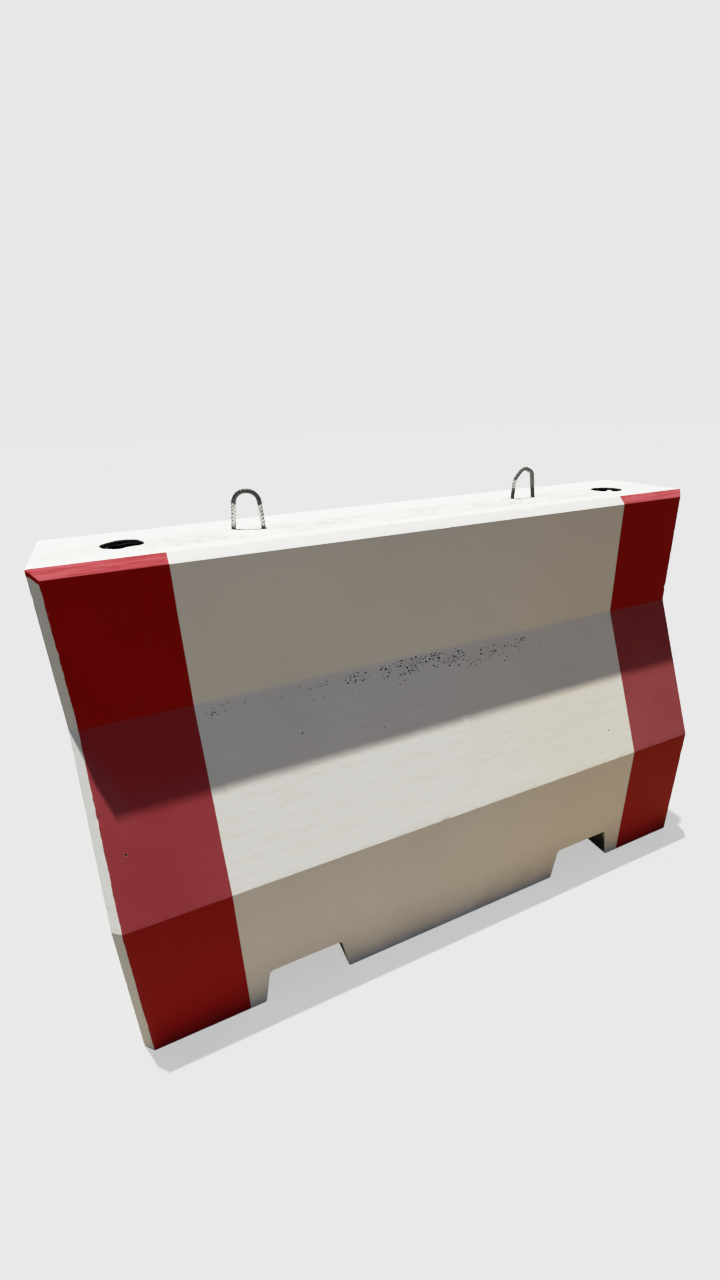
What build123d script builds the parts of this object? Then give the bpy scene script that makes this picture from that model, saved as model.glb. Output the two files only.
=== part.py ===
from build123d import *
import math
import os

# Precast concrete safety barrier: a free-standing wall with a kerb, a sloped lower face and an upright
# upper face, the same on both sides. Lifting loops, pipe sleeves and a reinforcing cage are cast into it.
# Millimetres. The origin is the middle of the base, X runs along the barrier, Y through it and Z up.

# Outline of the cross-section
LENGTH = 1540.0
HEIGHT = 1000.0
BASE_WIDTH = 600.0
KERB_HEIGHT = 340.0
WAIST_HEIGHT = 700.0
WAIST_WIDTH = 300.0
SHOULDER_HEIGHT = 982.0     # underside of the chamfer along the top edge
SHOULDER_WIDTH = 288.0
TOP_WIDTH = 250.0
END_CHAMFER = 20.0          # up each corner between an end and a long face

# Fork-lift pockets, right through the base, wider at the floor
POCKET_FROM_MIDDLE = 407.0
POCKET_FLOOR_WIDTH = 202.0
POCKET_ROOF_WIDTH = 170.0
POCKET_HEIGHT = 87.0
POCKET_CORNER_RADIUS = 12.0

# Pipe sleeves: 3 inch plastic pipe, the full height of the barrier
SLEEVE_PLACES = {"left": (-613.0, 0.0), "right": (620.0, -16.0)}
SLEEVE_OUTER_RADIUS = 44.5
SLEEVE_BORE_RADIUS = 39.0

# Lifting loops: one bent bar each. A route is (along, above the top face), with a bend radius per corner.
LOOP_BAR_RADIUS = 5.5       # of a 10 mm bar over its ribs
LOOP_DEPTH = 380.0          # of the legs below the top face
LOOP_HOOK_REACH = 130.0     # of the hooked ends from the middle of the loop
HOOK_RADIUS = 36.0
LOOPS = {
    "left": {
        "place": (-363.0, 10.0),
        "turn": -24.0,
        "arch": [(-32.5, -5.0, 60.0), (-23.5, 75.5, 27.0), (26.5, 75.5, 25.0), (32.0, -5.0, 200.0)],
    },
    "right": {
        "place": (353.0, 4.0),
        "turn": -4.0,
        "arch": [
            (-31.5, -5.0, 60.0),
            (-28.5, 45.0, 35.0),
            (-4.0, 73.5, 17.0),
            (21.5, 60.5, 14.0),
            (31.0, -5.0, 60.0),
        ],
    },
}

# Reinforcing cage
COVER = 40.0                # concrete over the stirrups
STIRRUP_RADIUS = 4.0
STIRRUP_BEND_RADIUS = 24.0
STIRRUP_BASE_HEIGHT = 130.0
STIRRUP_PLACES = (-700.0, -450.0, -250.0, -85.0, 85.0, 250.0, 450.0, 700.0)
BAR_RADIUS = 6.0
BAR_END_COVER = 45.0
BAR_CORNER_INSET = 16.0     # from stirrup centre line to bar centre, in the tight corners
BAR_SIDE_INSET = 13.0       # the same, in the wide corners
BLOCK_SIZE = 40.0
BLOCK_FROM_MIDDLE_PLANE = 150.0

# Red paint bands: their inner edges, measured from the ends, and the film
BAND_WIDTHS = {"left": 225.0, "right": 220.0}
FILM_THICKNESS = 0.5
FILM_BASE_GAP = 3.0         # the paint stops this far above the floor

HALF_LENGTH = LENGTH / 2
SIDES = {"front": -1, "back": 1}


def upper_face(z):
    """Distance of the upper face from the middle plane at a height."""
    lean = (WAIST_WIDTH - SHOULDER_WIDTH) / 2 / (SHOULDER_HEIGHT - WAIST_HEIGHT)
    return WAIST_WIDTH / 2 - lean * (z - WAIST_HEIGHT)


def side_line(base, top):
    """The long face as (y, z) points, listed upwards, from one height to another, with no top chamfer."""
    return [
        (BASE_WIDTH / 2, base),
        (BASE_WIDTH / 2, KERB_HEIGHT),
        (WAIST_WIDTH / 2, WAIST_HEIGHT),
        (upper_face(top), top),
    ]


def painted_line():
    """The long face from just above the floor to the flat top, with the top chamfer."""
    return side_line(FILM_BASE_GAP, SHOULDER_HEIGHT) + [(TOP_WIDTH / 2, HEIGHT)]


def moved_in(line, distance):
    """A face line moved towards the middle plane. Its two ends stay at their heights."""
    normals = []
    for (y0, z0), (y1, z1) in zip(line, line[1:]):
        run = math.hypot(y1 - y0, z1 - z0)
        normals.append(((z0 - z1) / run, (y1 - y0) / run))
    moved = [(line[0][0] + distance / normals[0][0], line[0][1])]
    for (y, z), (ay, az), (by, bz) in zip(line[1:], normals, normals[1:]):
        share = distance / (1 + ay * by + az * bz)
        moved.append((y + share * (ay + by), z + share * (az + bz)))
    moved.append((line[-1][0] + distance / normals[-1][0], line[-1][1]))
    return moved


def section(line):
    """The closed cross-section between a face line and its mirror image."""
    mirrored = [(-y, z) for y, z in reversed(line)]
    return make_face(Polyline(*line, *mirrored, close=True))


def across(x):
    """The cross-section plane at a place along the barrier: local X is the row's Y."""
    return Plane(origin=(x, 0, 0), x_dir=(0, 1, 0), z_dir=(1, 0, 0))


def end_chamfer_envelope():
    """All that lies inside the four end chamfers: it tapers over the last stretch at each end."""
    spare = 100.0
    line = side_line(-spare, HEIGHT + spare)
    full, end = section(line), section(moved_in(line, END_CHAMFER))
    shoulder = HALF_LENGTH - END_CHAMFER
    envelope = across(-shoulder) * extrude(full, amount=2 * shoulder)
    for side in (-1, 1):
        taper = [across(side * shoulder) * full, across(side * HALF_LENGTH) * end]
        envelope += loft(taper, ruled=True)
    return envelope


def fork_pocket(x):
    """A pocket's hollow: a trapezium with rounded upper corners, run past both long faces."""
    floor, roof = POCKET_FLOOR_WIDTH / 2, POCKET_ROOF_WIDTH / 2
    lean = (floor - roof) / POCKET_HEIGHT
    below = 10.0
    low = floor + lean * below
    outline = FilletPolyline(
        (-low, -below),
        (-roof, POCKET_HEIGHT),
        (roof, POCKET_HEIGHT),
        (low, -below),
        radius=[0, POCKET_CORNER_RADIUS, POCKET_CORNER_RADIUS, 0],
        close=True,
    )
    plane = Plane(origin=(x, BASE_WIDTH, 0), x_dir=(1, 0, 0), z_dir=(0, -1, 0))
    return extrude(plane * make_face(outline), amount=2 * BASE_WIDTH)


def upright_cylinder(place, radius):
    return Pos(*place, HEIGHT / 2) * Cylinder(radius, HEIGHT)


def pipe_sleeve(place):
    return upright_cylinder(place, SLEEVE_OUTER_RADIUS) - upright_cylinder(place, SLEEVE_BORE_RADIUS)


def bar_along(path, radius):
    """A round bar along a path of straight runs and tangent arcs."""
    start = Plane(origin=path @ 0, z_dir=path % 0)
    return sweep(start * Circle(radius), path=path)


def lifting_loop(place, turn, arch):
    """A hairpin bar: hooked ends and straight legs in the concrete, and the arch above it."""
    angle = math.radians(turn)
    plane = Plane(
        origin=(*place, HEIGHT),
        x_dir=(math.cos(angle), math.sin(angle), 0),
        z_dir=(math.sin(angle), -math.cos(angle), 0),
    )
    left_leg, right_leg = arch[0][0], arch[-1][0]
    points = [(-LOOP_HOOK_REACH, -LOOP_DEPTH), (left_leg, -LOOP_DEPTH)]
    points += [(along, above) for along, above, _ in arch]
    points += [(right_leg, -LOOP_DEPTH), (LOOP_HOOK_REACH, -LOOP_DEPTH)]
    radii = [HOOK_RADIUS] + [radius for _, _, radius in arch] + [HOOK_RADIUS]
    return bar_along(plane * FilletPolyline(*points, radius=radii), LOOP_BAR_RADIUS)


def stirrup_line():
    """The stirrup's centre line on one side, inside the concrete cover."""
    inset = COVER + STIRRUP_RADIUS
    return moved_in(side_line(STIRRUP_BASE_HEIGHT, HEIGHT - inset), inset)


def stirrup(x):
    """A closed hoop that follows the outline."""
    line = stirrup_line()
    mirrored = [(-y, z) for y, z in reversed(line)]
    hoop = FilletPolyline(*line, *mirrored, radius=STIRRUP_BEND_RADIUS, close=True)
    return bar_along(across(x) * hoop, STIRRUP_RADIUS)


def bar_places():
    """Where the long bars lie on one side, as (y, z): each one is tucked into a stirrup corner."""
    base, kerb, waist, top = stirrup_line()
    inner = moved_in(stirrup_line(), BAR_SIDE_INSET)
    return {
        "base": (base[0] - BAR_CORNER_INSET, base[1] + BAR_CORNER_INSET),
        "kerb": (inner[1][0], inner[1][1]),
        "waist": (inner[2][0], inner[2][1]),
        "top": (top[0] - BAR_CORNER_INSET, top[1] - BAR_CORNER_INSET),
    }


def long_bar(y, z):
    return Pos(0, y, z) * Rot(0, 90, 0) * Cylinder(BAR_RADIUS, LENGTH - 2 * BAR_END_COVER)


def cover_block(x, y):
    """A mortar block between the roof of a fork pocket and the stirrup above it."""
    height = STIRRUP_BASE_HEIGHT - STIRRUP_RADIUS - POCKET_HEIGHT
    return Pos(x, y, POCKET_HEIGHT + height / 2) * Box(BLOCK_SIZE, BLOCK_SIZE, height)


def paint_band(end, side):
    """A film of paint over one end of one long face, from just above the floor up over the top chamfer.

    It stops at the end chamfer, but on the top chamfer it runs on to the very corner.
    """
    inner = painted_line()
    outer = moved_in(inner, -FILM_THICKNESS)
    film = make_face(Polyline(*inner, *reversed(outer), close=True))
    corner_film = make_face(Polyline(*inner[-2:], *reversed(outer[-2:]), close=True))
    width = BAND_WIDTHS[end] - END_CHAMFER
    if end == "left":
        start, corner_start = -HALF_LENGTH + END_CHAMFER, -HALF_LENGTH
    else:
        start, corner_start = HALF_LENGTH - BAND_WIDTHS[end], HALF_LENGTH - END_CHAMFER
    solid = extrude(across(start) * film, amount=width)
    solid += extrude(across(corner_start) * corner_film, amount=END_CHAMFER) & end_chamfer_envelope()
    return solid if side > 0 else mirror(solid, about=Plane.XZ)


def cage_and_inserts():
    """Every piece that is cast into the concrete, by name."""
    pieces = {}
    for end, place in SLEEVE_PLACES.items():
        pieces[f"lifting_loop_{end}"] = lifting_loop(**LOOPS[end])
        pieces[f"pipe_sleeve_{end}"] = pipe_sleeve(place)
    for number, x in enumerate(STIRRUP_PLACES, start=1):
        pieces[f"stirrup_{number}"] = stirrup(x)
    for face, side in SIDES.items():
        for level, (y, z) in bar_places().items():
            pieces[f"long_bar_{level}_{face}"] = long_bar(side * y, z)
        for end, x in (("left", STIRRUP_PLACES[1]), ("right", STIRRUP_PLACES[-2])):
            block = cover_block(x, side * BLOCK_FROM_MIDDLE_PLANE)
            pieces[f"cover_block_{face}_{end}"] = block
    return pieces


def concrete_body(inserts):
    """The casting, with a bed for every insert, the two sleeve holes and the two fork pockets."""
    line = side_line(0, SHOULDER_HEIGHT) + [(TOP_WIDTH / 2, HEIGHT)]
    body = across(-HALF_LENGTH) * extrude(section(line), amount=LENGTH)
    body &= end_chamfer_envelope()
    for side in (-1, 1):
        body -= fork_pocket(side * POCKET_FROM_MIDDLE)
    for place in SLEEVE_PLACES.values():
        body -= upright_cylinder(place, SLEEVE_OUTER_RADIUS)
    for name, piece in inserts.items():
        if not name.startswith("pipe_sleeve"):
            body -= piece
    return body


def build():
    os.makedirs("parts", exist_ok=True)
    pieces = cage_and_inserts()
    pieces["concrete_body"] = concrete_body(pieces)
    for face, side in SIDES.items():
        for end in BAND_WIDTHS:
            pieces[f"red_band_{face}_{end}"] = paint_band(end, side)
    for name, piece in pieces.items():
        export_step(piece, f"parts/{name}.step")


build()
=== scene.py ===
import math
import random

import bpy
import numpy as np
from mathutils import Matrix, Vector, noise


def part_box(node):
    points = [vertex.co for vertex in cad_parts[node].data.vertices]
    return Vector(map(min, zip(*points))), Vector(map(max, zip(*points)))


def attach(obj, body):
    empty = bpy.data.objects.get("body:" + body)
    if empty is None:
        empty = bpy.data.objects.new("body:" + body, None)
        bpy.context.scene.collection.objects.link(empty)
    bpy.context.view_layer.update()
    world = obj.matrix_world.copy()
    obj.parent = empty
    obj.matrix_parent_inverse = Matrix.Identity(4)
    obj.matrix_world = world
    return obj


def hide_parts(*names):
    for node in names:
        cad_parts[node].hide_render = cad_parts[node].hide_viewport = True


# Looks of a painted concrete safety barrier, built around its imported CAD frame.
# Metres. X runs along the barrier, Y through it (the camera looks at the -Y face) and Z up.

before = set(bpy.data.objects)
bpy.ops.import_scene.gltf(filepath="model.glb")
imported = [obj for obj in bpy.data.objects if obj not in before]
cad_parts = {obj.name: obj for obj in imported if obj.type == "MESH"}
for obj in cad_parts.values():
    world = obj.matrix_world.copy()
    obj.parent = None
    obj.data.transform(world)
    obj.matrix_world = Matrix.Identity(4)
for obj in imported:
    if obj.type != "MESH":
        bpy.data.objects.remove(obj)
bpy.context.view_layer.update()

# ---- sizes

_, body_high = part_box("concrete_body")
HALF_LENGTH = body_high.x
HALF_BASE = body_high.y
HEIGHT = body_high.z
KERB_HEIGHT = 0.340
WAIST_HEIGHT = 0.700
HALF_WAIST = 0.150
SHOULDER_HEIGHT = 0.982
HALF_SHOULDER = 0.144
HALF_TOP = 0.125
END_CHAMFER = 0.020

MM = 0.001
GRID = 8 * MM               # size of the body's mesh cells on the long faces
CELLS_ACROSS = 64           # cells through the body, on its top and its underside
ARC_STEPS = 4               # cells round each rounded edge
SIDE_RADII = [0.8 * MM, 3 * MM, 30 * MM, 2 * MM, 1 * MM]    # floor, kerb, waist, shoulder and top edges
SIDE_CELLS = [42, 49, 36, 5]                                # cells on each straight run between them
WAIST_EDGE = 2              # the waist's place among those edges
LID_DEPTH = 2 * MM          # the shoulder's edge stays this far below the top in the end chamfers
TOP_CORNER_ROUNDING = 3 * MM

POCKET_FROM_MIDDLE = 0.407
POCKET_HALF_FLOOR = 0.101
POCKET_HALF_ROOF = 0.085
POCKET_HEIGHT = 0.087
POCKET_CORNER = 0.012
MOUTH_ROUNDING = 0.004      # of the pockets' edges on the long faces

SLEEVE_OUTER = 0.0445
SLEEVE_BORE = 0.039
SLEEVE_END_DROP = 0.009     # how far the pipe ends below the top, under a lip of concrete and paint
ROUND_COUNT = 72            # points round a pipe or its hole

LOOP_RADIUS = 0.0055        # over the ribs
LOOP_CORE_RADIUS = 0.0048
RIB_PITCH = 0.0075
LOOP_DEPTH = 0.380
LOOP_HOOK_REACH = 0.130
HOOK_RADIUS = 0.036
LOOP_SHOWN_BELOW = 0.02     # the ribs run on this far under the top

RED_FILM = 0.0004           # the red paint stands this far off the concrete


# ---- small helpers

def smooth_step(low, high, value):
    t = np.clip((value - low) / (high - low), 0.0, 1.0)
    return t * t * (3 - 2 * t)


def noise_at(points, scale, seed=0.0):
    """Perlin noise, about -1 to 1, at each point. scale is cells per metre, one number or one per axis."""
    scaled = np.asarray(points, float) * np.asarray(scale, float) + seed
    return np.array([noise.noise(p) for p in scaled])


def new_mesh_object(name, vertices, faces, smooth_angle=35.0):
    mesh = bpy.data.meshes.new(name)
    mesh.from_pydata([tuple(v) for v in vertices], [], faces)
    mesh.validate()
    piece = bpy.data.objects.new(name, mesh)
    bpy.context.scene.collection.objects.link(piece)
    soften(mesh, smooth_angle)
    return piece


def soften(mesh, angle):
    mesh.shade_smooth()
    mesh.set_sharp_from_angle(angle=math.radians(angle))


def rounded_line(points, radii, step):
    """Points along a polyline with arcs for inner corners, about a step apart on its straight runs."""
    corners = [Vector(p) for p in points]
    out = []
    here = corners[0]
    for before, corner, after, radius in zip(corners, corners[1:], corners[2:], radii):
        inward, outward = (before - corner).normalized(), (after - corner).normalized()
        half = inward.angle(outward) / 2
        reach = radius / math.tan(half)
        start, end = corner + inward * reach, corner + outward * reach
        centre = corner + (inward + outward).normalized() * (radius / math.sin(half))
        out += straight(here, start, step)
        sweep = math.pi - 2 * half
        a, b = start - centre, end - centre
        steps = max(ARC_STEPS, math.ceil(radius * sweep / step))
        for n in range(steps):
            t = n / steps
            out.append(centre + (a * math.sin((1 - t) * sweep) + b * math.sin(t * sweep)) / math.sin(sweep))
        here = end
    return out + straight(here, corners[-1], step) + [corners[-1]]


def straight(start, end, step):
    count = max(1, round((end - start).length / step))
    return [start.lerp(end, n / count) for n in range(count)]


# ---- the body's surface

def side_corners(inset):
    """Corners of a long face's outline as (distance from the middle plane, height), moved in by inset."""
    def meet(p, d, q, e):
        """Where the line from p along d crosses the line from q along e."""
        cross = d.x * e.y - d.y * e.x
        return p + d * (((q.x - p.x) * e.y - (q.y - p.y) * e.x) / cross)

    full = [
        Vector((HALF_BASE, 0.0)),
        Vector((HALF_BASE, KERB_HEIGHT)),
        Vector((HALF_WAIST, WAIST_HEIGHT)),
        Vector((HALF_SHOULDER, SHOULDER_HEIGHT)),
    ]
    runs = [(b - a).normalized() for a, b in zip(full, full[1:])]
    starts = [a + Vector((-run.y, run.x)) * inset for a, run in zip(full, runs)]
    top = Vector((HALF_TOP, HEIGHT))
    chamfer = (top - full[3]).normalized()
    floor = meet(starts[0], runs[0], Vector((0.0, 0.0)), Vector((1.0, 0.0)))
    kerb = meet(starts[0], runs[0], starts[1], runs[1])
    waist = meet(starts[1], runs[1], starts[2], runs[2])
    shoulder = meet(starts[2], runs[2], full[3], chamfer)
    lid = HEIGHT - LID_DEPTH
    if shoulder.y > lid:
        shoulder = meet(starts[2], runs[2], Vector((0.0, lid)), Vector((1.0, 0.0)))
        top = Vector((shoulder.x - 1.5 * MM, HEIGHT))
    return [floor, kerb, waist, shoulder, top]


def side_outline(inset):
    """The outline of a long face from the underside round to the flat top, always as many points."""
    corners = side_corners(inset)
    inner = [Vector((corners[0].x - 0.01, 0.0)), *corners, Vector((corners[-1].x - 0.01, HEIGHT))]
    out = []
    here = None
    for n, radius in enumerate(SIDE_RADII):
        before, corner, after = inner[n], inner[n + 1], inner[n + 2]
        inward, outward = (before - corner).normalized(), (after - corner).normalized()
        half = inward.angle(outward) / 2
        reach = min(radius / math.tan(half), 0.45 * (before - corner).length, 0.45 * (after - corner).length)
        start, end = corner + inward * reach, corner + outward * reach
        if here is not None:
            cells = SIDE_CELLS[n - 1]
            out += [here.lerp(start, t / cells) for t in range(1, cells)]
        for t in (s / ARC_STEPS for s in range(ARC_STEPS + 1)):
            out.append(start * (1 - t) ** 2 + corner * 2 * t * (1 - t) + end * t * t)
        here = end
    return out


def plan_columns():
    """Cross-sections along the barrier as (place, inset): the end chamfers are sections moved in."""
    line = rounded_line(
        [
            (0.0, 0.0),
            (HALF_LENGTH - END_CHAMFER, 0.0),
            (HALF_LENGTH, END_CHAMFER),
            (HALF_LENGTH, END_CHAMFER + 2 * MM),
        ],
        [3 * MM, 2.4 * MM],
        GRID,
    )
    half = [(p.x, p.y) for p in line[1:-1]]
    return [(-x, inset) for x, inset in reversed(half)] + [(0.0, 0.0)] + half


def arris_rows():
    """For each row of the side outline, its distance along the outline from the nearest edge."""
    outline = side_outline(0.0)
    along = np.cumsum([0.0] + [(b - a).length for a, b in zip(outline, outline[1:])])
    marks, row = [], 0
    for n in range(len(SIDE_RADII)):
        marks.append(along[row + ARC_STEPS // 2])
        row += ARC_STEPS + (SIDE_CELLS[n] if n < len(SIDE_CELLS) else 0)
    marks.pop(WAIST_EDGE)       # a hollow corner, so nothing knocks it
    return np.min([np.abs(along - mark) for mark in marks], axis=0)


def worn_surface(points, normals, edge_distance):
    """Moves points inwards: slow waves of the mould, hand-sized unevenness, and knocks along the edges
    and over the end faces.
    """
    waves = 0.30 * MM * (1 + noise_at(points, (2.6, 3.0, 3.4), 11.3))
    uneven = 0.10 * MM * (1 + noise_at(points, (19.0, 23.0, 23.0), 4.7))
    near_edge = np.exp(-((edge_distance / (5 * MM)) ** 2))
    knocks = noise_at(points, (30.0, 50.0, 50.0), 31.9) + 0.4 * noise_at(points, (110.0, 110.0, 110.0), 7.1)
    chips = 1.8 * MM * near_edge * smooth_step(0.48, 0.85, knocks)
    fraying = 0.18 * MM * near_edge * (1 + noise_at(points, (70.0, 90.0, 90.0), 2.2))
    return points - normals * (waves + uneven + chips + fraying)[:, None]


def trowelled_drop(points):
    """How far the hand-trowelled top dips below its full height."""
    low = np.asarray(points, float)
    swirls = noise_at(low, (14.0, 34.0, 1.0), 5.5)
    lumps = noise_at(low, (60.0, 95.0, 1.0), 8.8)
    crumbs = noise_at(low, (170.0, 210.0, 1.0), 3.1)
    rough = smooth_step(HALF_TOP - 0.015, HALF_TOP - 0.06, np.abs(low[:, 1]))
    ridges = 0.8 * MM * (1 - swirls) + 0.7 * MM * (1 - lumps) * (0.25 + 0.75 * rough)
    return ridges + 0.5 * MM * (1 - crumbs) * rough


LUMP_FROM_HOLE = 35 * MM    # from the hole's middle
LUMP_HEIGHT = 7 * MM
LUMP_SPREAD = 4.5 * MM


def mortar_lump(points):
    """A lump of mortar left standing on the near rim of the right sleeve's hole."""
    x, y = sleeve_place("right")
    bearing = math.radians(RIM_TONGUES["right"][0][0])
    lump_x = x + LUMP_FROM_HOLE * math.cos(bearing)
    lump_y = y + LUMP_FROM_HOLE * math.sin(bearing)
    away = np.hypot(points[:, 0] - lump_x, points[:, 1] - lump_y)
    return LUMP_HEIGHT * np.exp(-((away / LUMP_SPREAD) ** 2))


class Body:
    """The concrete body as a cuboid grid of rows (up the side), cells across and columns (along X)."""

    def __init__(self):
        self.columns = plan_columns()
        outlines = [side_outline(inset) for _, inset in self.columns]
        self.rows = len(outlines[0])
        self.side = np.array([[(p.x, p.y) for p in outline] for outline in outlines])
        self.number = -np.ones((self.rows, CELLS_ACROSS + 1, len(self.columns)), int)
        self.places, self.edge = [], []
        self.row_edge = arris_rows()
        self.column_edge = self.column_distances()
        self.number_surface()
        self.faces = self.surface_faces()
        self.points = self.worn()

    def column_distances(self):
        xs = np.array([x for x, _ in self.columns])
        arrises = (HALF_LENGTH - END_CHAMFER, HALF_LENGTH)
        return np.min([np.abs(np.abs(xs) - a) for a in arrises], axis=0)

    def add(self, i, j, k):
        y, z = self.side[k, i]
        x = self.columns[k][0]
        past = abs(x) - (HALF_LENGTH - TOP_CORNER_ROUNDING)
        if past > 0:
            drop = TOP_CORNER_ROUNDING - math.sqrt(max(0.0, TOP_CORNER_ROUNDING**2 - past * past))
            z -= drop * smooth_step(HEIGHT - 30 * MM, HEIGHT, z)
        self.number[i, j, k] = len(self.places)
        self.places.append((x, y * (2 * j / CELLS_ACROSS - 1), z))
        on_side = j in (0, CELLS_ACROSS)
        row = self.row_edge[i] if on_side or i in (0, self.rows - 1) else 1.0
        inside = min(j, CELLS_ACROSS - j) * 2 * y / CELLS_ACROSS
        self.edge.append(min(row + inside, self.column_edge[k]))

    def number_surface(self):
        last_row, last_column = self.rows - 1, len(self.columns) - 1
        for i in range(self.rows):
            for j in range(CELLS_ACROSS + 1):
                skin = i in (0, last_row) or j in (0, CELLS_ACROSS)
                for k in range(last_column + 1) if skin else (0, last_column):
                    self.add(i, j, k)

    def surface_faces(self):
        n = self.number
        sheets = [
            (n[:, 0, :], False),
            (n[:, -1, :], True),
            (n[0, :, :], True),
            (n[-1, :, :], False),
            (n[:, :, 0], True),
            (n[:, :, -1], False),
        ]
        faces = []
        for sheet, flipped in sheets:
            a, b, c, d = sheet[:-1, :-1], sheet[:-1, 1:], sheet[1:, 1:], sheet[1:, :-1]
            order = (d, c, b, a) if flipped else (a, b, c, d)
            faces.append(np.stack(order, axis=-1).reshape(-1, 4))
        return np.concatenate(faces)

    def worn(self):
        places = np.array(self.places)
        mesh = bpy.data.meshes.new("plain_body")
        mesh.from_pydata(places.tolist(), [], self.faces.tolist())
        normals = np.array([v.vector for v in mesh.vertex_normals])
        bpy.data.meshes.remove(mesh)
        moved = worn_surface(places, normals, np.array(self.edge))
        on_floor = places[:, 2] < 1e-6
        moved[on_floor] = places[on_floor]
        middle = self.number[-1, 1:-1, 1:-1].ravel()
        fade = smooth_step(0.0, 0.008, HALF_LENGTH - np.abs(places[middle, 0]))
        moved[middle, 2] = places[middle, 2] - trowelled_drop(places[middle]) * fade - 0.3 * MM
        moved[middle, 2] += mortar_lump(places[middle])
        self.normals = normals
        return moved


# ---- hollows cut into the body

def ring_solid(rings):
    """A closed solid through rings of as many points each."""
    count = len(rings[0])
    vertices = [p for ring in rings for p in ring]
    faces = []
    for r in range(len(rings) - 1):
        low, high = r * count, (r + 1) * count
        for n in range(count):
            m = (n + 1) % count
            faces.append((low + n, low + m, high + m, high + n))
    last = (len(rings) - 1) * count
    faces.append(tuple(range(count - 1, -1, -1)))
    faces.append(tuple(range(last, last + count)))
    return vertices, faces


def round_angles():
    return [2 * math.pi * n / ROUND_COUNT for n in range(ROUND_COUNT)]


def pocket_ring(x, y, grow):
    """The outline of a fork pocket on the plane at y, grown by a margin."""
    floor, roof = POCKET_HALF_FLOOR + grow, POCKET_HALF_ROOF + grow
    lean = (floor - roof) / POCKET_HEIGHT
    below = 0.02
    top = POCKET_HEIGHT + grow
    line = rounded_line(
        [(-floor - lean * below, -below), (-roof, top), (roof, top), (floor + lean * below, -below)],
        [POCKET_CORNER + grow] * 2,
        0.012,
    )
    rough = [0.5 * MM * noise.noise((p.x * 40, p.y * 40 + x * 9, y * 25)) for p in line]
    return [(x + p.x * (1 + r), y, p.y + r) for p, r in zip(line, rough)]


def pocket_cutter(x):
    """A fork pocket's hollow, right through the body, with rounded edges at both mouths."""
    rings = []
    face = HALF_BASE - 0.6 * MM
    for t in (n / 4 for n in range(-1, 5)):
        share = 1 - math.sqrt(max(0.0, 1 - (1 - t) ** 2)) if t >= 0 else 1.8
        rings.append((-face + MOUTH_ROUNDING * t, MOUTH_ROUNDING * share))
    inner = [(y, 0.0) for y in np.linspace(-face + 0.02, face - 0.02, 24)]
    mirrored = [(-y, grow) for y, grow in reversed(rings)]
    return ring_solid([pocket_ring(x, y, grow) for y, grow in rings + inner + mirrored])


# How much wider than the pipe's bore each hole's mouth is.
MOUTH_WIDER = {"left": 2.4 * MM, "right": -0.5 * MM}

# Where mortar and paint lap over each sleeve's end: bearing and half-width in degrees, and reach.
RIM_TONGUES = {
    "left": [(-73, 20, 9 * MM), (12, 34, 5.5 * MM)],
    "right": [(-124, 12, 9 * MM)],
}


def hole_rim(angle, end):
    """Radius of a sleeve hole's mouth at an angle."""
    radius = SLEEVE_BORE + MOUTH_WIDER[end]
    for bearing, half_width, reach in RIM_TONGUES[end]:
        away = angle - math.radians(bearing)
        away = math.atan2(math.sin(away), math.cos(away))
        radius -= reach * math.exp(-((away / math.radians(half_width)) ** 4))
    uneven = noise.noise((math.cos(angle) * 1.7 + 8.1, math.sin(angle) * 1.7, 0.3))
    fine = noise.noise((math.cos(angle) * 6, math.sin(angle) * 6, 2.7))
    return radius + 1.6 * MM * uneven + 0.8 * MM * fine


def hole_cutter(x, y, end):
    """The bed of the pipe sleeve, narrowed near the top to the lip's ragged mouth."""
    angles = round_angles()
    seat = HEIGHT - SLEEVE_END_DROP
    levels = [(-0.01, 1.0, 0.0), (seat, 1.0, 0.0), (seat + 0.1 * MM, 0.0, 0.6 * MM)]
    levels += [(HEIGHT - 5 * MM, 0.0, 0.0), (HEIGHT - 3 * MM, 0.0, 0.9 * MM)]
    levels += [(HEIGHT - 1.6 * MM, 0.0, 2.4 * MM), (HEIGHT + 3 * MM, 0.0, 7 * MM)]
    rings = []
    for z, bed, flare in levels:
        radii = [(SLEEVE_OUTER + 0.2 * MM) * bed + (hole_rim(a, end) + flare) * (1 - bed) for a in angles]
        rings.append([(x + r * math.cos(a), y + r * math.sin(a), z) for a, r in zip(angles, radii)])
    return ring_solid(rings)


SLOPE_FALL = Vector((0.0, -(HALF_BASE - HALF_WAIST), -(WAIST_HEIGHT - KERB_HEIGHT))).normalized()
SLOPE_OUT = Vector((0.0, -(WAIST_HEIGHT - KERB_HEIGHT), HALF_BASE - HALF_WAIST)).normalized()

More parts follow.
